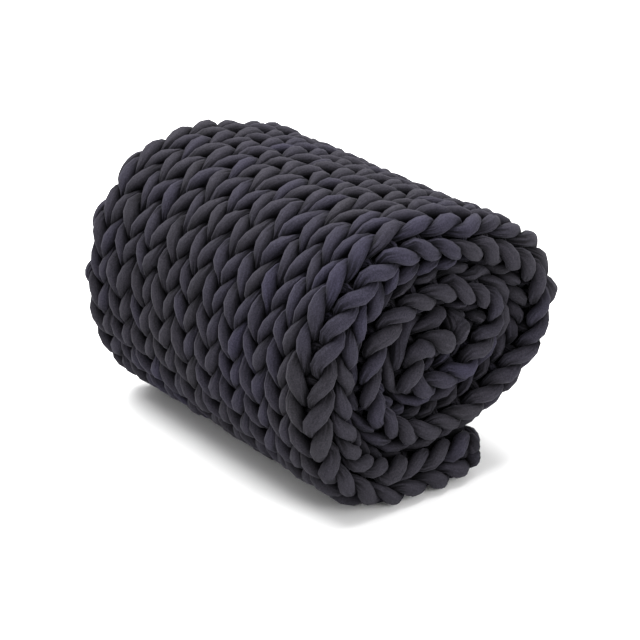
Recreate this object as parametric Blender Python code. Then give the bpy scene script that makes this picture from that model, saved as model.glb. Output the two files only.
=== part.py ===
"""Chunky-knit weighted blanket, folded in half lengthwise and rolled up.

The cloth lies with its fold at the +X end of the roll and its two long side edges at the
-X end. The outer end of the cloth lies flat on the ground, and the roll sits on top of it.
Metres, +Z up. The origin is on the ground, under the middle of the roll.
"""

import math

import bmesh
import bpy

# Cloth
PLY = 0.0278             # thickness of one layer of the knit
PLY_GAP = 0.0015         # slot between the two layers of the folded cloth
FOLDED_WIDTH = 0.515     # fold to side edges, along X: the length of the roll

# Winding: the middle line of the doubled cloth, seen from +X with +Y to the right.
# It starts at the cloth's outer end on the ground and heads towards -Y, then winds
# clockwise over the top and inwards.
END_Y = 0.0656           # the cloth's outer end
GROUND_RUN = 0.116       # straight stretch of cloth on the ground
CORE_RUN = 0.035         # straight stretch at the inner end, in the middle of the roll
#        bend radius, swept angle in degrees
WINDING = (
    (0.117, 69.0),       # off the ground
    (0.211, 33.0),       # up the -Y side
    (0.160, 43.0),
    (0.107, 33.0),       # over the top
    (0.307, 33.0),
    (0.106, 50.0),       # down the +Y side
    (0.073, 57.0),
    (0.251, 40.0),       # second turn, over the cloth on the ground
    (0.096, 39.0),
    (0.095, 58.0),       # up inside the first turn
    (0.088, 45.0),
    (0.097, 39.0),       # second time over the top
    (0.163, 37.0),
    (0.031, 58.0),       # second time down the +Y side
    (0.057, 52.0),
    (0.139, 38.0),       # third turn
    (0.032, 96.0),       # round the core
    (0.031, 82.0),
)

# Facets
BEND_STEP = 9.0          # most degrees of winding in one facet
FOLD_STEPS = 6           # facets round the half circle of the fold
SIDE_STEPS = 4           # facets round a half-round side edge
END_ROUNDING = (0.45, 0.75, 0.93, 1.0)   # share of PLY kept by the sections at a cloth end

# Colour and finish of the cotton jersey yarn
YARN_COLOUR = (0.032, 0.030, 0.037, 1.0)
YARN_ROUGHNESS = 0.92

LAYER_OFFSET = (PLY + PLY_GAP) / 2       # middle line of the cloth to middle of a layer
CLOTH = 2 * PLY + PLY_GAP                # thickness of the folded cloth


def clear_scene():
    """Remove every object that is already in the scene."""
    for thing in list(bpy.data.objects):
        bpy.data.objects.remove(thing, do_unlink=True)


def straight(point, heading, length, stations):
    """Append the end of a straight stretch; a station is (y, z, heading)."""
    y = point[0] + length * math.cos(heading)
    z = point[1] + length * math.sin(heading)
    stations.append((y, z, heading))
    return y, z


def bend(point, heading, radius, sweep, stations):
    """Append the stations of a clockwise arc; return its end and its new heading."""
    centre_y = point[0] + radius * math.sin(heading)
    centre_z = point[1] - radius * math.cos(heading)
    steps = math.ceil(sweep / BEND_STEP)
    for step in range(1, steps + 1):
        turned = heading - math.radians(sweep) * step / steps
        y = centre_y - radius * math.sin(turned)
        z = centre_z + radius * math.cos(turned)
        stations.append((y, z, turned))
    return (y, z), turned


def rounded_start(point, heading, stations):
    """Append stations close to the cloth's end, where its edge is rounded off."""
    for share in END_ROUNDING:
        depth = PLY / 2 * (1 - math.sqrt(1 - share ** 2))
        y = point[0] + depth * math.cos(heading)
        z = point[1] + depth * math.sin(heading)
        stations.append((y, z, heading))


def middle_line():
    """Stations along the middle line of the cloth, from its outer to its inner end."""
    heading = math.pi
    point = (END_Y, CLOTH / 2)
    stations = []
    rounded_start(point, heading, stations)
    point = straight(point, heading, GROUND_RUN, stations)
    for radius, sweep in WINDING:
        point, heading = bend(point, heading, radius, sweep, stations)
    inner_end = (point[0] + CORE_RUN * math.cos(heading),
                 point[1] + CORE_RUN * math.sin(heading))
    last = []
    rounded_start(inner_end, heading + math.pi, last)
    stations += [(y, z, heading) for y, z, _ in reversed(last)]
    return stations


def kept_thickness(count):
    """Thickness of a layer at each station: full, but for the rounded cloth ends."""
    shares = [1.0] * count
    for index, share in enumerate(END_ROUNDING):
        shares[index] = share
        shares[count - 1 - index] = share
    return [PLY * share for share in shares]


def layer_middle():
    """Middle of the folded layer: (x, offset, out_x, out_offset) from edge to edge."""
    edge_x = -FOLDED_WIDTH / 2 + PLY / 2
    fold_x = FOLDED_WIDTH / 2 - LAYER_OFFSET - PLY / 2
    fold = []
    for step in range(FOLD_STEPS + 1):
        turn = math.pi / 2 - math.pi * step / FOLD_STEPS
        out_x, out_offset = math.cos(turn), math.sin(turn)
        fold.append((fold_x + LAYER_OFFSET * out_x, LAYER_OFFSET * out_offset,
                     out_x, out_offset))
    outer_edge = (edge_x, LAYER_OFFSET, 0.0, 1.0)
    inner_edge = (edge_x, -LAYER_OFFSET, 0.0, -1.0)
    return [outer_edge] + fold + [inner_edge]


def half_round(x, offset, thickness, upper):
    """Points of a side edge's half circle, between its two ends, outer one first."""
    side = 1.0 if upper else -1.0
    points = []
    for step in range(1, SIDE_STEPS):
        turn = math.pi / 2 + math.pi * step / SIDE_STEPS
        points.append((x + thickness / 2 * math.cos(turn),
                       offset + side * thickness / 2 * math.sin(turn)))
    return points


def section(thickness):
    """Closed outline (x, offset) of the folded cloth with layers of this thickness."""
    middle = layer_middle()
    half = thickness / 2
    outer = [(x + half * ox, n + half * on) for x, n, ox, on in middle]
    inner = [(x - half * ox, n - half * on) for x, n, ox, on in middle]
    first, last = middle[0], middle[-1]
    last_edge = half_round(last[0], last[1], thickness, upper=False)
    first_edge = half_round(first[0], first[1], thickness, upper=True)
    return outer + last_edge + inner[::-1] + first_edge[::-1]


def place_section(mesh, station, thickness):
    """Add the section's points across the winding at one station."""
    y, z, heading = station
    out_y, out_z = -math.sin(heading), math.cos(heading)
    return [mesh.verts.new((x, y + offset * out_y, z + offset * out_z))
            for x, offset in section(thickness)]


def skin(mesh, rings):
    """Join consecutive rings with quads."""
    for ring, following in zip(rings, rings[1:]):
        for index in range(len(ring)):
            after = (index + 1) % len(ring)
            mesh.faces.new((ring[index], ring[after], following[after], following[index]))


def close_end(mesh, ring):
    """Fill a cloth end with quads across the layer and a fan at each side edge."""
    count = len(layer_middle())
    between = SIDE_STEPS - 1
    inner_start = count + between
    for index in range(count - 1):
        opposite = inner_start + count - 1 - index
        mesh.faces.new((ring[index], ring[index + 1], ring[opposite - 1], ring[opposite]))
    mesh.faces.new(ring[count - 1:inner_start + 1])
    mesh.faces.new(ring[inner_start + count - 1:] + ring[:1])


def jersey_material():
    """Matt, dark cotton."""
    material = bpy.data.materials.new("jersey_yarn")
    material.use_nodes = True
    shader = material.node_tree.nodes["Principled BSDF"]
    shader.inputs["Base Color"].default_value = YARN_COLOUR
    shader.inputs["Roughness"].default_value = YARN_ROUGHNESS
    shader.inputs["Metallic"].default_value = 0.0
    return material


def build_blanket():
    """Sweep the folded section along the winding."""
    stations = middle_line()
    thicknesses = kept_thickness(len(stations))
    mesh = bmesh.new()
    rings = [place_section(mesh, station, thickness)
             for station, thickness in zip(stations, thicknesses)]
    skin(mesh, rings)
    close_end(mesh, rings[0])
    close_end(mesh, rings[-1])
    bmesh.ops.recalc_face_normals(mesh, faces=mesh.faces)
    data = bpy.data.meshes.new("blanket_roll")
    mesh.to_mesh(data)
    mesh.free()
    data.materials.append(jersey_material())
    data.shade_smooth()
    data.set_sharp_from_angle(angle=math.radians(50))
    blanket = bpy.data.objects.new("blanket_roll", data)
    bpy.context.scene.collection.objects.link(blanket)


clear_scene()
build_blanket()
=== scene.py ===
# %% [markdown]
# # A chunky-knit weighted blanket, folded and rolled
# The real blanket is one length of thick cotton tube, knitted by hand. It is folded in half
# along its length and rolled up. Its look comes from fat loops that press against each other,
# so this lesson follows the yarn itself: where every loop runs, and how far its soft skin can
# swell before it meets the next loop.

# %% Load the frame
import math

import bpy
import numpy as np
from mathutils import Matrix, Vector


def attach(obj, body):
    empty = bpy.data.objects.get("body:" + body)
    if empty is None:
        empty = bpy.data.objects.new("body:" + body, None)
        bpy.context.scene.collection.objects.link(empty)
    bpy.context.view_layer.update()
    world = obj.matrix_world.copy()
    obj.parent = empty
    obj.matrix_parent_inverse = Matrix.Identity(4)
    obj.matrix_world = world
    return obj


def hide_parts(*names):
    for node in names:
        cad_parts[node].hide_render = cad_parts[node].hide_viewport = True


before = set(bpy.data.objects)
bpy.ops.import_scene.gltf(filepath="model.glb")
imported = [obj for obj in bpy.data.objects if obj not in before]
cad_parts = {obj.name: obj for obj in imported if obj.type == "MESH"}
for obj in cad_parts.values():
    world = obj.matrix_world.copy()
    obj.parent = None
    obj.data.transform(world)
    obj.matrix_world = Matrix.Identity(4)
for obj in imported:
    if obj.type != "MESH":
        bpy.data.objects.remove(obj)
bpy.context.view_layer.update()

# %% [markdown]
# ## Where the cloth lies
# The doubled cloth follows one middle line of straight runs and arcs, seen from the fold end.
# These are the sizes of the solid roll, repeated, so that the yarn fills the same space.
# A table of arcs was chosen over a drawn curve, because a place along it and the direction
# across it are then exact, even close to the core.
#
# The arcs' numbers weren't chosen by hand. Separate fitting programs made them, and they are
# rounded to whole millimetres and degrees. The run on the ground and the width of a column
# came out of the same work.

# %% Sizes of the roll
PLY = 0.0278             # thickness of one layer of the knit
PLY_GAP = 0.0015         # slot between the two layers
CLOTH = 2 * PLY + PLY_GAP
ROLL_LENGTH = 0.515
END_Y = 0.0656           # the cloth's outer end
GROUND_RUN = 0.116       # straight stretch of cloth on the ground
CORE_RUN = 0.035         # straight stretch at the inner end
WINDING = (  # bend radius, swept degrees
    (0.117, 69.0), (0.211, 33.0), (0.160, 43.0), (0.107, 33.0), (0.307, 33.0), (0.106, 50.0),
    (0.073, 57.0), (0.251, 40.0), (0.096, 39.0), (0.095, 58.0), (0.088, 45.0), (0.097, 39.0),
    (0.163, 37.0), (0.031, 58.0), (0.057, 52.0), (0.139, 38.0), (0.032, 96.0), (0.031, 82.0),
)
ARCS = [(radius, radius * math.radians(sweep)) for radius, sweep in WINDING]
RUNS = [(0.0, GROUND_RUN)] + ARCS + [(0.0, CORE_RUN)]  # bend radius (0 is straight), length
CLOTH_RUN = sum(length for _, length in RUNS)
print("cloth from end to end", round(CLOTH_RUN, 3), "m")


# %% The middle line of the cloth
def middle_line(s):
    """Place (y, z) and outward direction (y, z) at distances s along the middle line."""
    s = np.asarray(s, float)
    y, z, heading = np.zeros_like(s), np.zeros_like(s), np.full_like(s, math.pi)
    start_y, start_z, turned, done = END_Y, CLOTH / 2, math.pi, 0.0
    for index, (radius, length) in enumerate(RUNS):
        first, last = index == 0, index == len(RUNS) - 1
        here = ((s >= done) | first) & ((s < done + length) | last)
        along = s[here] - done
        if radius == 0:
            y[here] = start_y + along * math.cos(turned)
            z[here] = start_z + along * math.sin(turned)
            heading[here] = turned
            start_y += length * math.cos(turned)
            start_z += length * math.sin(turned)
        else:
            centre_y = start_y + radius * math.sin(turned)
            centre_z = start_z - radius * math.cos(turned)
            angle = turned - along / radius
            y[here] = centre_y - radius * np.sin(angle)
            z[here] = centre_z + radius * np.cos(angle)
            heading[here] = angle
            turned -= length / radius
            start_y = centre_y - radius * math.sin(turned)
            start_z = centre_z + radius * math.cos(turned)
        done += length
    return y, z, -np.sin(heading), np.cos(heading)


core_y, core_z, _, _ = middle_line([CLOTH_RUN])
print("inner end of the cloth at y, z", round(float(core_y[0]), 3), round(float(core_z[0]), 3))

# %% [markdown]
# ## Rows along the cloth
# Knitting is easiest to describe flat: u runs across the blanket, row counts the rows from the
# outer end, and w is the height over the middle of the layer, towards the knit side. Rows are
# a little taller in the outer turn, where the cloth is stretched over the roll. A table from
# row number to distance along the cloth holds this, because it also works between rows.

# %% Rows
COLUMNS = 20
COLUMN = 0.0506          # width of a column
ROWS = 50
# The first row's place and the outer row height began as a fitting program's numbers. The
# first row was then moved by a measured offset and rounded, and the height raised a little.
FIRST_ROW = 0.0320       # the first row's distance from the outer end
ROW_OUTSIDE = 0.03665    # row height in the outer turn, and further in
ROW_INSIDE = 0.0340
EASING_ROWS = (24.0, 29.0)               # rows between which the height changes
SPARE_ROWS = 2           # rows that the table holds past either end
ROW_STEP = 0.1           # rows from one line of the table to the next


def row_heights():
    """Row numbers, and their distances along the cloth."""
    rows = np.arange(-SPARE_ROWS, ROWS + SPARE_ROWS, ROW_STEP)
    ease = np.clip((rows - EASING_ROWS[0]) / (EASING_ROWS[1] - EASING_ROWS[0]), 0, 1)
    height = ROW_OUTSIDE + (ROW_INSIDE - ROW_OUTSIDE) * ease
    along = np.concatenate([[0], np.cumsum(height[:-1] * ROW_STEP)])
    return rows, along - np.interp(0, rows, along) + FIRST_ROW


ROW_TABLE = row_heights()
last_row = float(np.interp(ROWS - 1, *ROW_TABLE))
print("last row at", round(last_row, 3), "of", round(CLOTH_RUN, 3))

# %% [markdown]
# ## From flat knitting to the roll
# This step bends the flat space round the fold and then along the winding. The knit side ends
# up outside on both layers. A Simple Deform modifier could bend a finished mesh, but would
# squash the loops. Bending only the yarn's path keeps each loop round.

# %% Round the fold
LAYER_OUT = 0.0140       # middle of the cloth to the middle of a layer's yarn
FOLD_CORNER = 0.0145     # rounding of the fold's two corners
TIP_DEPTH = 0.0128       # how far the yarn's path stays behind the end of the roll
FOLD_TIP = ROLL_LENGTH / 2 - TIP_DEPTH
SPREAD = 0.060           # depth behind the fold over which the cloth is thicker
BUNCHING = 0.965         # length of the inner layer, against the outer one
OUTER_BULGE = 0.002      # extra thickness at the fold, outwards
INNER_BULGE = (          # distance along the cloth, extra thickness at the fold, inwards
    (0.0, 0.015), (0.05, 0.0185), (0.15, 0.015), (0.35, 0.020), (0.55, 0.012),
    (0.75, 0.005), (1.0, 0.002),
)


def ease_in_out(share):
    """Share from 0 to 1, with a soft start and a soft end."""
    return share * share * (3 - 2 * share)


def fold_profile(u, s):
    """Middle of the layer at u: x, offset, and the direction (x, offset) to the knit side."""
    inner = u > 0
    half = LAYER_OUT + np.where(inner, np.interp(s, *np.transpose(INNER_BULGE)), OUTER_BULGE)
    sign = np.where(inner, -1.0, 1.0)
    face = half - FOLD_CORNER
    round_end = face + FOLD_CORNER * math.pi / 2
    reach = np.abs(u)
    turn = np.clip((reach - face) / FOLD_CORNER, 0, math.pi / 2)
    behind = np.maximum(reach - round_end, 0) * np.where(inner, BUNCHING, 1.0)
    fade = ease_in_out(np.clip(behind / SPREAD, 0, 1))
    x = FOLD_TIP - FOLD_CORNER * (1 - np.cos(turn)) - behind
    offset = np.minimum(reach, face) + FOLD_CORNER * np.sin(turn) - (half - LAYER_OUT) * fade
    return x, sign * offset, np.cos(turn), sign * np.sin(turn)


edge_x = fold_profile(np.array([COLUMNS * COLUMN / 2]), np.array([0.0]))[0]
print("side edge at x", round(float(edge_x[0]), 3))

# %% Flat to rolled
# The drift began as measured offsets, which were rounded and then changed.
FOLD_DRIFT = (           # distance along the cloth, and from its middle to the fold's tip
    (0.0, 0.018), (0.12, 0.015), (0.25, 0.010), (0.65, 0.028), (0.80, 0.022),
)
FOLD_SLACK = 0.008       # stretch of the cloth just behind the fold
SLACK_FULL = 0.03        # distance from the middle up to which the slack is full
SLACK_FADE = 0.05        # distance over which it fades


def roll_up(u, row, w):
    """Bend flat knitting (u, row, w) round the fold and along the winding."""
    s = np.interp(row, *ROW_TABLE)
    near_fold = 1 - np.clip((np.abs(u) - SLACK_FULL) / SLACK_FADE, 0, 1)
    shift = np.interp(s, *np.transpose(FOLD_DRIFT)) - FOLD_SLACK * near_fold
    x, offset, out_x, out_offset = fold_profile(u + shift, s)
    x, offset = x + w * out_x, offset + w * out_offset
    y, z, out_y, out_z = middle_line(s)
    return np.stack([x, y + offset * out_y, z + offset * out_z], -1)


corner = roll_up(np.zeros(1), np.zeros(1), np.zeros(1))[0]
print("first row meets the fold at", [round(float(value), 3) for value in corner])

# %% [markdown]
# ## One row of yarn
# A knitted loop is a wave: it leans to one side on the way up and to the other on the way
# down, comes to the front on its two legs and dips to the back at head and foot. It could be
# drawn as one curve object and copied by an Array modifier, but then every loop would be the
# same. One formula gives a whole row, and each loop can still be changed later.

# %% The path of a row
LEAN = 0.205             # sideways swing of a leg, in columns
RISE = 1.05              # half height of a loop, in rows
DIP = 0.0085             # depth of head and foot behind the legs, and of the legs in front
SAMPLES = 24             # points on the path of one loop


def row_path(row, rise, first_leg):
    """Path of one row of loops, first column to last: u, row, w, pinch and leg number."""
    t = np.linspace(0, 2 * math.pi * COLUMNS, SAMPLES * COLUMNS + 1)
    u = COLUMN * (t / (2 * math.pi) - COLUMNS / 2) + LEAN * COLUMN * np.sin(2 * t)
    return np.stack([u, row - rise * np.cos(t), -DIP * np.cos(2 * t), np.cos(2 * t),
                     first_leg + t / math.pi], 1)


print("points in a row", len(row_path(0, RISE, 0)))

# %% [markdown]
# ## Chains and turns
# A knitter casts the first loops on along a chain, turns at the end of every row, and casts
# the last row off with another chain. A chain is a low, even row of loops, so the same formula
# makes it. A turn is a half circle at the side edge. Each row could be a tube of its own, but
# its ends would show at the side edges. Joined, all these parts are one yarn, as in the real
# blanket.

# %% Chains and turns
TURN = 0.005             # reach of the turn at a side edge
TURN_SWELL = 1.7         # how much fuller the yarn is in a turn than at a foot
CAST_ON = -0.78          # place of the chains along the outer and inner end, in rows
CAST_OFF = ROWS - 0.05
CHAIN_RISE = 0.24        # half height of a chain, in rows
CHAIN_EASE = 0.35        # share of a row's depth and pinch that a chain has
CHAIN_SWELL = 0.40       # how much fuller the yarn is in a chain than in a row


def chain_path(row, first_leg):
    """Path of the chain that holds the first or last row of loops, first column to last."""
    chain = row_path(row, -CHAIN_RISE, first_leg)
    chain[:, 2:4] *= CHAIN_EASE
    chain[:, 3] -= CHAIN_SWELL
    return chain


def turn_path(low, high, side, leg):
    """Path round a side edge, from a foot at row low to a foot at row high."""
    a = np.linspace(-math.pi / 2, math.pi / 2, SAMPLES // 2 + 2)[1:-1]
    out = np.cos(a)
    return np.stack([side * (COLUMN * COLUMNS / 2 + TURN * out),
                     (high + low) / 2 + (high - low) / 2 * np.sin(a),
                     DIP * (out - 1), 1 - TURN_SWELL * out, np.full_like(a, leg)], 1)


def yarn_path():
    """Path of the whole yarn: cast-on chain, rows with turns between them, cast-off chain."""
    path = [chain_path(CAST_ON, 0)[::-1]]
    foot = CAST_ON + CHAIN_RISE
    for row in range(ROWS):
        forth = row % 2 == 0
        first_leg = 2 * COLUMNS * (row + 1)
        path.append(turn_path(foot, row - RISE, -1 if forth else 1, first_leg))
        path.append(row_path(row, RISE, first_leg)[::1 if forth else -1])
        foot = row - RISE
    last_leg = 2 * COLUMNS * (ROWS + 1)
    path.append(turn_path(foot, CAST_OFF + CHAIN_RISE, -1, last_leg))
    path.append(chain_path(CAST_OFF, last_leg))
    return np.concatenate(path)


path = yarn_path()
flat, pinch, leg = path[:, :3], path[:, 3], path[:, 4]
u, row, w = flat.T
print("points on the yarn", len(path))

# %% [markdown]
# ## Unevenness of hand knitting
# No two hand-knitted loops are alike. Neighbouring loops drift the same way, because one pull
# of the hand or one crease of the cloth moves several of them, so each point is pushed by a
# smooth random field over the flat cloth rather than by its own random number. The seed is
# fixed, so the blanket is the same each time.

# %% Drift of the loops
SEED = 7
DRIFT_ACROSS = (0.030, 0.8, 0.0024)      # width and rows of a bump, then its size
DRIFT_ALONG = (0.030, 0.8, 0.075)        # here the size is in rows
DRIFT_DEPTH = (0.026, 0.7, 0.0014)
END_SAG = 0.007          # how far the upper layer sags onto the lower one at the outer end
SAG_ROWS = 2.5           # rows over which the sag fades
SAG_START = 0.04         # distance behind the fold at which it is full
MARGIN = 3               # cells of the random field outside the cloth
noise = np.random.default_rng(SEED)


def wander(u, row, step_u, step_row, size):
    """Smooth random push over the flat cloth, with bumps about (step_u, step_row) apart."""
    across, down = int(COLUMNS * COLUMN / step_u), int(ROWS / step_row)
    grid = noise.normal(0, size, (across + 2 * MARGIN + 2, down + 2 * MARGIN + 2))
    a = (u + COLUMNS * COLUMN / 2) / step_u + MARGIN
    b = row / step_row + MARGIN
    i, j = np.floor(a).astype(int), np.floor(b).astype(int)
    i, j = np.clip(i, 0, grid.shape[0] - 2), np.clip(j, 0, grid.shape[1] - 2)
    fa, fb = ease_in_out(np.clip(a - i, 0, 1)), ease_in_out(np.clip(b - j, 0, 1))
    low = grid[i, j] * (1 - fa) + grid[i + 1, j] * fa
    high = grid[i, j + 1] * (1 - fa) + grid[i + 1, j + 1] * fa
    return low * (1 - fb) + high * fb


sag = END_SAG * np.clip(1 - row / SAG_ROWS, 0, 1) * np.clip(u / SAG_START, 0, 1)
uneven = np.stack([wander(u, row, *DRIFT_ACROSS), wander(u, row, *DRIFT_ALONG),
                   wander(u, row, *DRIFT_DEPTH) - sag], 1)
centre = roll_up(*(flat + uneven).T)
print("largest drift across", round(float(np.abs(uneven[:, 0]).max()), 4), "m")

# %% Fatness and dye of each leg
LEG_FATNESS = 0.08       # spread of the legs' fatness, and the most that it may be
MOST_FATNESS = 0.18
END_SWELL = 0.16         # how much fuller the loops are at the cloth's outer end
END_ROWS = 1.8           # rows over which that fades
CORE_SWELL = 0.40        # the same for the last rows, loose in the middle of the roll
CORE_ROWS = (4, 3)       # rows from the inner end where it starts, and rows to full
LEG_TONE = 0.13          # spread of the dye from leg to leg
TONE_PATCHES = (0.12, 4.0, 0.19)         # wider patches of dye, as for the drift


def each_leg(size):
    """A random value for every leg, blended from one leg to the next along the yarn."""
    table = noise.normal(0, size, 2 * COLUMNS * (ROWS + 2) + 2)
    return np.interp(leg - 0.5, np.arange(len(table)), table)


fatness = 1 + np.clip(each_leg(LEG_FATNESS), -MOST_FATNESS, MOST_FATNESS)
fatness *= 1 + END_SWELL * np.clip(1 - row / END_ROWS, 0, 1)
fatness *= 1 + CORE_SWELL * np.clip((row - ROWS + CORE_ROWS[0]) / CORE_ROWS[1], 0, 1)
tone = np.clip(0.5 + each_leg(LEG_TONE) + wander(u, row, *TONE_PATCHES), 0, 1)
print("fatness from", round(float(fatness.min()), 2), "to", round(float(fatness.max()), 2))

# %% [markdown]
# ## Pressing the loops together
# A soft tube swells until it meets its neighbour, and the two share the room between them.
# A cloth simulation could find this shape, but would take hours for a thousand loops. Here,
# for each point on the path and each direction round it, the skin stops at a plane between
# it and each nearby point of other loops. The first two cells find the directions round the
# yarn and the points that are near each other.

# %% Directions round the yarn
RING = 18                # points round the yarn
YARN_RADIUS = 0.0107     # of the tube with nothing round it
GUIDE_LIFT = 0.004       # height over the path at which its upward direction is taken


def directions(path, guide):
    """Unit tangent, side and up of a path; up leans towards guide."""
    along = np.gradient(path, axis=0)
    along /= np.linalg.norm(along, axis=1)[:, None]
    up = guide - (guide * along).sum(1)[:, None] * along
    up /= np.linalg.norm(up, axis=1)[:, None]
    return along, np.cross(along, up), up


guide = roll_up(*(flat + uneven + [0, 0, GUIDE_LIFT]).T) - centre
along, side, up = directions(centre, guide)
step = np.linalg.norm(np.diff(centre, axis=0), axis=1)
length = np.concatenate([[0], np.cumsum(step)])
turn_angle = np.arange(RING) * 2 * math.pi / RING
outward = (side[:, None, :] * np.cos(turn_angle)[None, :, None]
           + up[:, None, :] * np.sin(turn_angle)[None, :, None])
print("yarn length", round(float(length[-1]), 1), "m")


# %% Neighbours
def near_pairs(points, reach):
    """Pairs (i, j) of points closer than reach, found through a grid of cells."""
    cell = np.floor(points / reach).astype(np.int64)
    cell -= cell.min(0) - 1
    span = cell.max(0) + 2
    key = (cell[:, 0] * span[1] + cell[:, 1]) * span[2] + cell[:, 2]
    order = np.argsort(key, kind="stable")
    ranked = key[order]
    pairs = []
    for shift in np.ndindex(3, 3, 3):
        dx, dy, dz = (k - 1 for k in shift)
        other = key + (dx * span[1] + dy) * span[2] + dz
        low = np.searchsorted(ranked, other, "left")
        count = np.searchsorted(ranked, other, "right") - low
        i = np.repeat(np.arange(len(points)), count)
        within = np.arange(count.sum()) - np.repeat(np.cumsum(count) - count, count)
        j = order[np.repeat(low, count) + within]
        close = ((points[i] - points[j]) ** 2).sum(1) < reach * reach
        pairs.append(np.stack([i, j], 1)[close & (i != j)])
    return np.concatenate(pairs).T


pairs_in_reach = near_pairs(centre, YARN_RADIUS).shape[1]
print("pairs of points closer than the yarn's radius", pairs_in_reach)

# %% [markdown]
# ## The skin of the yarn
# Four things stop the skin: the tube's own fullness, the neighbours, the inside of a tight
# bend, and the ground. Each gives a limit in every direction. Adding high powers of the
# inverse limits gives their smooth minimum, so that the skin turns softly from one to the
# next. A plain minimum would leave knife-sharp ridges, and metaballs would melt the loops
# together.

# %% Push of the neighbours
PINCH = 0.20             # share of the radius lost at head and foot and won on the legs
OWN_REACH = 2.2          # own yarn nearer than this many thicknesses isn't a neighbour
SHARPNESS = 9.0          # power of the smooth minimum
CLEARANCE = 0.0012       # half of the dark line left between two loops
LEAST_SHARE = 0.0025     # room left to the yarn where two loops cross closest
BATCH = 200000           # pairs handled at a time, to save memory


def neighbour_push(radius):
    """Sum of the powers of the inverse limits that neighbours set, in every direction."""
    i, j = near_pairs(centre, 2 * radius.max())
    other = np.abs(length[i] - length[j]) > OWN_REACH * 2 * radius[i]
    i, j = i[other], j[other]
    gap = centre[j] - centre[i]
    distance = np.linalg.norm(gap, axis=1)
    towards = gap / distance[:, None]
    share = distance * radius[i] / (radius[i] + radius[j])
    share = np.maximum(share - CLEARANCE, LEAST_SHARE)
    total = np.zeros(outward.shape[:2])
    for first in range(0, len(i), BATCH):
        part = slice(first, first + BATCH)
        facing = np.einsum("nrk,nk->nr", outward[i[part]], towards[part])
        push = (np.maximum(facing, 0) / share[part][:, None]) ** SHARPNESS
        np.add.at(total, i[part], push)
    return total


radius = YARN_RADIUS * (1 - PINCH * pinch) * fatness
from_neighbours = neighbour_push(radius)
touched = (from_neighbours > radius[:, None] ** -SHARPNESS).mean()
print("share of the skin that neighbours press", round(float(touched), 2))

# %% Push of bends and ground
BEND_SHARE = 0.95        # share of the bend's radius that the skin may reach
LEAST_HEIGHT = 0.002     # lowest height over the ground that counts for a path point


def bend_push():
    """The same for the inside of a bend, where the skin would fold over itself."""
    bend = np.gradient(along, axis=0) / np.gradient(length)[:, None]
    inner = np.maximum(np.einsum("nrk,nk->nr", outward, bend), 0) / BEND_SHARE
    return inner ** SHARPNESS


def ground_push():
    """The same for the ground, which flattens the loops that lie on it."""
    height = np.maximum(centre[:, 2], LEAST_HEIGHT)
    return (np.maximum(-outward[:, :, 2], 0) / height[:, None]) ** SHARPNESS


total = radius[:, None] ** -SHARPNESS + from_neighbours + bend_push() + ground_push()
print("lowest point of the path", round(float(centre[:, 2].min()), 4))

# %% Skin
skin = total ** (-1 / SHARPNESS)
skin[1:-1] = (skin[:-2] + 2 * skin[1:-1] + skin[2:]) / 4
openness = skin / radius[:, None]
print("mean share of its full radius that the skin reaches", round(float(openness.mean()), 2))

# %% [markdown]
# ## Creases
# Where a loop is squeezed at its head and foot, the jersey tube has too much cloth and folds
# into pleats along the yarn. A wave round the ring gives each squeezed stretch five shallow
# creases. They are real shape, because they change the outline of a loop. The finer pleats
# are left to the material.

# %% Creases
CREASES = 5
CREASE_DEPTH = 0.05      # share of the radius
CREASE_TWIST = 9.0       # drift of the crease wave along the yarn, in radians a metre
LEG_TWIST = 3.0          # most that the wave also shifts from leg to leg, and its pace
LEG_TWIST_PACE = 1.7
SQUEEZE_FROM = -0.95     # pinch at which the creases begin, and the pinch from there to full
SQUEEZE_SPAN = 0.55

phase = length * CREASE_TWIST + LEG_TWIST * np.sin(leg * LEG_TWIST_PACE)
squeezed = np.clip((pinch - SQUEEZE_FROM) / SQUEEZE_SPAN, 0, 1)
crease_wave = np.cos(CREASES * turn_angle[None, :] + phase[:, None])
skin *= 1 + CREASE_DEPTH * squeezed[:, None] * crease_wave
surface = centre[:, None, :] + outward * skin[:, :, None]
surface[:, :, 2] = np.maximum(surface[:, :, 2], 0)
print("skin", surface.shape, "highest", round(float(surface[:, :, 2].max()), 4))

# %% [markdown]
# ## Skin to mesh
# The rings of skin points are joined by quads into a closed tube. A curve with a round bevel
# would be simpler, but has one radius all the way round, so it can't be pressed flat on one
# side. The yarn is cut into six pieces along its length, to keep each mesh small. Each point
# also stores what the material needs: the dye's tone, the room that the skin has, and how
# squeezed the tube is. The map runs round the tube and along it in metres, and its seam lies
# on the side of the yarn, between the loops.

# %% Values stored with the skin
def store_values(mesh, first, last):
    """Store tone, openness and squeeze with every point of the mesh."""
    shares = (("tone", np.repeat(tone[first:last], RING)),
              ("open", openness[first:last].ravel()),
              ("squeeze", np.repeat(squeezed[first:last], RING)))
    for label, values in shares:
        mesh.attributes.new(label, "FLOAT", "POINT").data.foreach_set("value", values)


print("stored values run along", len(tone), "points of the path")


# %% Map of the yarn
def map_yarn(mesh, first, last):
    """UV map: once round the tube from 0 to 1, and along it in metres."""
    count = last - first
    near, far = length[first:last - 1], length[first + 1:last]
    lengthways = np.repeat(np.stack([near, far, far, near], 1)[:, None, :], RING, 1)
    low, high = np.arange(RING) / RING, (np.arange(RING) + 1) / RING
    around = np.repeat(np.stack([low, low, high, high], 1)[None], count - 1, 0)
    uv = np.zeros((len(mesh.loops), 2))
    uv[:lengthways.size] = np.stack([around.ravel(), lengthways.ravel()], 1)
    mesh.uv_layers.new(name="yarn").data.foreach_set("uv", uv.ravel())


print("the map is", round(float(length[-1]), 1), "m long")


# %% Tube of yarn
GROUPS = 6               # pieces that the yarn is cut into


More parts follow.
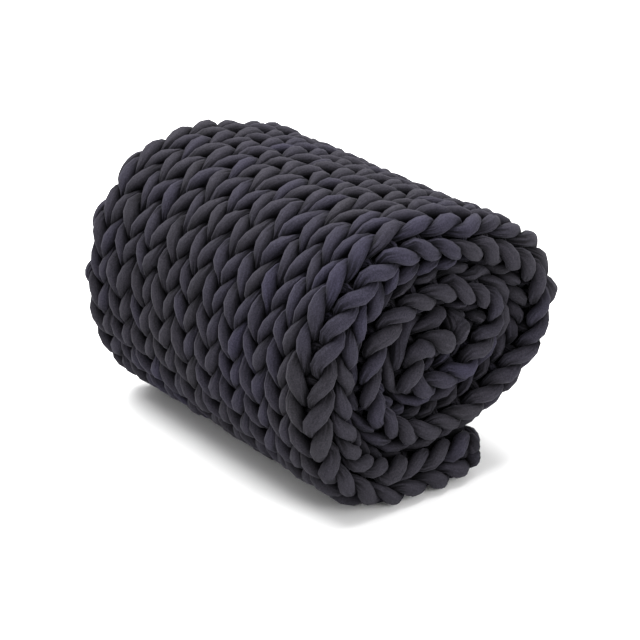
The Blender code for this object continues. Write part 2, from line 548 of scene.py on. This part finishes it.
def tube(name, first, last):
    """Closed mesh of the yarn between two of its points, with its stored values and map."""
    rings = surface[first:last].reshape(-1, 3)
    count = last - first
    a = np.arange(count - 1)[:, None] * RING
    b = np.arange(RING)[None]
    c = (b + 1) % RING
    quads = np.stack([a + b, a + RING + b, a + RING + c, a + c], 2).reshape(-1, 4)
    caps = [list(range(RING)), [(count - 1) * RING + k for k in range(RING)][::-1]]
    mesh = bpy.data.meshes.new(name)
    mesh.from_pydata(rings.tolist(), [], quads.tolist() + caps)
    mesh.shade_smooth()
    store_values(mesh, first, last)
    map_yarn(mesh, first, last)
    piece = bpy.data.objects.new(name, mesh)
    bpy.context.scene.collection.objects.link(piece)
    return piece


per_group = math.ceil(len(centre) / GROUPS)
pieces = []
for group in range(GROUPS):
    first = group * per_group
    last = min(first + per_group + 1, len(centre))
    pieces.append(tube(f"yarn_{group + 1}", first, last))
print("triangles, near enough", sum(len(piece.data.polygons) * 2 for piece in pieces))

# %% [markdown]
# ## Cotton jersey
# The yarn is a tube of fine cotton jersey, stuffed and matt, dyed charcoal with a hint of
# purple. Close up it shows tiny V-shaped stitches along the tube, soft ribs where the fabric
# is stretched, pleats where a loop is squeezed, and dust-fine grain. A scanned texture would
# repeat and show seams, so each of these is drawn by nodes, on the yarn's own map where it
# has to follow every bend. First come short helpers for the nodes that are used often.

# %% Shader
cotton = bpy.data.materials.new("cotton_jersey")
cotton.use_nodes = True
nodes, links = cotton.node_tree.nodes, cotton.node_tree.links
shader = nodes["Principled BSDF"]
shader.inputs["Roughness"].default_value = 0.9
shader.inputs["Specular IOR Level"].default_value = 0.08
shader.inputs["Sheen Weight"].default_value = 0.035
shader.inputs["Sheen Roughness"].default_value = 0.45
shader.inputs["Sheen Tint"].default_value = (0.85, 0.84, 1.0, 1)
print("material", cotton.name)


# %% Node helpers
def give(socket, value):
    """Link value to the socket if it comes from a node, or else set it."""
    if isinstance(value, bpy.types.NodeSocket):
        links.new(value, socket)
    else:
        socket.default_value = value


def grey(value):
    """Neutral colour of this brightness."""
    return (value, value, value)


def ramp(source, stops):
    """Colour ramp driven by source, with stops (place, colour)."""
    made = nodes.new("ShaderNodeValToRGB")
    while len(made.color_ramp.elements) < len(stops):
        made.color_ramp.elements.new(0.5)
    for element, (place, colour) in zip(made.color_ramp.elements, stops):
        element.position, element.color = place, (*colour, 1)
    links.new(source, made.inputs["Fac"])
    return made.outputs["Color"]


def multiply(fac, a, b):
    """Multiply colour a by colour b, as far as fac says."""
    made = nodes.new("ShaderNodeMix")
    made.data_type, made.blend_type = "RGBA", "MULTIPLY"
    for index, value in ((0, fac), (6, a), (7, b)):
        give(made.inputs[index], value)
    return made.outputs[2]


def compute(operation, *values):
    """Math node on up to three values."""
    made = nodes.new("ShaderNodeMath")
    made.operation = operation
    for socket, value in zip(made.inputs, values):
        give(socket, value)
    return made.outputs[0]


print("nodes so far", len(nodes))


# %% Stored values, noise and places
def attribute(name):
    """Value stored with the mesh under this name."""
    made = nodes.new("ShaderNodeAttribute")
    made.attribute_name = name
    return made.outputs["Fac"]


def noise_on(place, scale, detail):
    """Noise texture at the given place, after scaling it."""
    spread = nodes.new("ShaderNodeMapping")
    spread.inputs["Scale"].default_value = scale
    links.new(place, spread.inputs["Vector"])
    made = nodes.new("ShaderNodeTexNoise")
    made.inputs["Scale"].default_value = 1.0
    made.inputs["Detail"].default_value = detail
    links.new(spread.outputs["Vector"], made.inputs["Vector"])
    return made.outputs["Fac"]


yarn_map = nodes.new("ShaderNodeUVMap")
yarn_map.uv_map = "yarn"
yarn_place = yarn_map.outputs["UV"]
solid_place = nodes.new("ShaderNodeTexCoord").outputs["Object"]
print("nodes so far", len(nodes))

# %% [markdown]
# ## Dye, painted shade and painted highlight
# The dye differs a little from loop to loop. Where the skin is pressed far in, little light
# gets between the loops, so painted shade darkens the colour with the room that the skin has,
# and a painted highlight lightens the most open tops past the dye. This could be left to the
# lights alone, but the cracks between real loops are narrower and deeper than the mesh's.

# %% Dye, painted shade and painted highlight
DYES = ((0.0, (0.0180, 0.0169, 0.0205)), (0.5, (0.0178, 0.0165, 0.0217)),
        (1.0, (0.0200, 0.0184, 0.0305)))
# Painted shade: the colour darkens where the skin is pressed far in between loops. Painted
# highlight: it lightens past the dye on the most open tops.
PAINTED_SHADE_AND_HIGHLIGHT_STOPS = ((0.56, grey(0.03)), (0.85, grey(0.86)), (1.0, grey(1.28)))

dye = ramp(attribute("tone"), DYES)
painted_shade_and_highlight = ramp(attribute("open"), PAINTED_SHADE_AND_HIGHLIGHT_STOPS)
print("nodes so far", len(nodes))

# %% [markdown]
# ## Pleats, ribs and grain
# Pleats run along the tube where it is squeezed, and soft ribs run all along it. Both are
# noise on the yarn's map, stretched lengthways. They could be modelled too, but only with far
# more points. The grain is the same in all directions, so it is read from the place in the
# object instead, which has no seam. The pleats and ribs also feed the bump. In the colour,
# the pleats' folds are painted shade and their ridges a little painted light.

# %% Pleats, ribs and grain
PLEAT_SCALE, RIB_SCALE, GRAIN_SCALE = (16, 18, 1), (30, 60, 1), (520, 520, 520)
CLOTH_DETAIL, GRAIN_DETAIL = 2.0, 3.0
# Painted shade in the pleats' folds and a little painted light on their ridges, where the tube
# is squeezed.
PAINTED_PLEAT_SHADES = ((0.43, grey(0.18)), (0.56, grey(1.14)))
RIB_SHADES = ((0.3, grey(0.82)), (0.7, grey(1.14)))
GRAIN_SHADES = ((0.32, grey(0.68)), (0.68, grey(1.32)))
NO_CHANGE = (1.0, 1.0, 1.0, 1)

squeeze = attribute("squeeze")
wrinkles = noise_on(yarn_place, PLEAT_SCALE, CLOTH_DETAIL)
painted_pleat_shade = multiply(squeeze, NO_CHANGE, ramp(wrinkles, PAINTED_PLEAT_SHADES))
ribs = noise_on(yarn_place, RIB_SCALE, CLOTH_DETAIL)
streaks = ramp(ribs, RIB_SHADES)
grain = ramp(noise_on(solid_place, GRAIN_SCALE, GRAIN_DETAIL), GRAIN_SHADES)
print("nodes so far", len(nodes))

# %% [markdown]
# ## Jersey stitches
# Fine jersey is itself a knit: columns of small Vs along the tube. A sine along the yarn
# gives the courses, and a zigzag added to it round the tube bends each course into Vs. They
# are far too many and too small to model.

# %% Jersey stitches
WALES, COURSES = 44, 640                 # stitches round the tube, and per metre of it
STITCH_SHADES = ((0.0, grey(0.86)), (0.6, grey(1.06)))

split = nodes.new("ShaderNodeSeparateXYZ")
links.new(yarn_place, split.inputs[0])
slant = compute("PINGPONG", compute("MULTIPLY", split.outputs[0], WALES), 0.5)
course = compute("MULTIPLY_ADD", split.outputs[1], COURSES, slant)
stitch = compute("SINE", compute("MULTIPLY", course, 2 * math.pi))
stitches = ramp(compute("MULTIPLY_ADD", stitch, 0.5, 0.5), STITCH_SHADES)
print("stitches every", round(1000 / COURSES, 2), "mm along the tube")

# %% Colour and bump
WRINKLE_HEIGHT, RIB_HEIGHT, STITCH_HEIGHT = 1.4, 0.3, 0.02
BUMP_STRENGTH, BUMP_DISTANCE = 0.8, 0.003

colour = dye
# Painted shade and highlight from the loops' room, and painted pleat shade, multiply the dye
# here together with the ribs, grain and stitches.
for layer in (painted_shade_and_highlight, painted_pleat_shade, streaks, grain, stitches):
    colour = multiply(1.0, colour, layer)
links.new(colour, shader.inputs["Base Color"])

height = compute("MULTIPLY", compute("MULTIPLY", wrinkles, squeeze), WRINKLE_HEIGHT)
height = compute("MULTIPLY_ADD", ribs, RIB_HEIGHT, height)
height = compute("MULTIPLY_ADD", stitch, STITCH_HEIGHT, height)
bump = nodes.new("ShaderNodeBump")
bump.inputs["Strength"].default_value = BUMP_STRENGTH
bump.inputs["Distance"].default_value = BUMP_DISTANCE
links.new(height, bump.inputs["Height"])
links.new(bump.outputs["Normal"], shader.inputs["Normal"])
print("nodes in all", len(nodes))

# %% [markdown]
# ## What the pieces are
# All six pieces of yarn are parts of the one blanket: they ride on its body, stand in for its
# solid and wear the cotton material. They could have been joined into one mesh, but the
# separate pieces are lighter to handle.

# %% What the pieces are
for piece in pieces:
    piece.data.materials.append(cotton)
    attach(piece, "root")
    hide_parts("blanket_roll")
print("pieces", [piece.name for piece in pieces])

# %% [markdown]
# ## Floor and lights
# The blanket lies on a sheet of white paper, wide enough to have no edge in any view. A large
# softbox overhead models the loops and gives the soft shadow, a small one fills the side that
# faces the camera, and a white room lights the rest. A single hard lamp would black out the
# cracks between the loops.

# %% Floor
FLOOR_SIZE = 30

bpy.ops.object.select_all(action="DESELECT")
bpy.ops.mesh.primitive_plane_add(size=FLOOR_SIZE)
floor = bpy.context.object
floor.name = "floor"
paper = bpy.data.materials.new("paper")
paper.use_nodes = True
paper_shader = paper.node_tree.nodes["Principled BSDF"]
paper_shader.inputs["Base Color"].default_value = (0.95, 0.95, 0.95, 1)
floor.data.materials.append(paper)
print("floor", FLOOR_SIZE, "m wide")

# %% Lights
SURROUND_LIGHT = 0.80
KEY = dict(place=(-0.6, -0.05, 2.2), aim=(0, 0, 0.15), size=2.6, power=172)
FILL = dict(place=(2.3, 0.5, 1.1), aim=(0.2, 0, 0.2), size=1.2, power=38)

world = bpy.data.worlds.new("studio")
bpy.context.scene.world = world
world.use_nodes = True
background = world.node_tree.nodes["Background"]
background.inputs["Color"].default_value = (1, 1, 1, 1)
background.inputs["Strength"].default_value = SURROUND_LIGHT


def face(thing, place, aim):
    """Put a light or camera at place, looking at aim."""
    thing.location = place
    thing.rotation_euler = (Vector(aim) - Vector(place)).to_track_quat("-Z", "Y").to_euler()


def softbox(name, place, aim, size, power):
    """Square area light at place, facing aim."""
    light = bpy.data.lights.new(name, "AREA")
    light.size = size
    light.energy = power
    lamp = bpy.data.objects.new(name, light)
    bpy.context.scene.collection.objects.link(lamp)
    face(lamp, place, aim)
    return lamp


lamps = [softbox("key", **KEY), softbox("fill", **FILL)]
print("lights", [lamp.name for lamp in lamps])

# %% [markdown]
# ## Camera
# A long lens from well back, a little above the roll, shows the end face and the side together
# without bending them. It is placed by its angles and its distance from a point in the middle
# of the roll, because those are the numbers that describe a view. A separate fitting program
# found the angles, the distance and the height of that point.

# %% Camera
AZIMUTH, ELEVATION, DISTANCE = 52.14, 24.06, 2.653
AIM = Vector((0.0152, -0.0014, 0.1551))
SENSOR = 36
FOCAL = 3.125            # focal length, in widths of the view

az, el = math.radians(AZIMUTH), math.radians(ELEVATION)
back = Vector((math.sin(az) * math.cos(el), -math.cos(az) * math.cos(el), math.sin(el)))
lens = bpy.data.cameras.new("camera")
lens.sensor_width = SENSOR
lens.lens = FOCAL * SENSOR
camera = bpy.data.objects.new("camera", lens)
bpy.context.scene.collection.objects.link(camera)
face(camera, AIM + back * DISTANCE, AIM)
bpy.context.scene.camera = camera
bpy.context.scene.view_settings.view_transform = "Standard"
print("lens", round(lens.lens, 1), "mm")
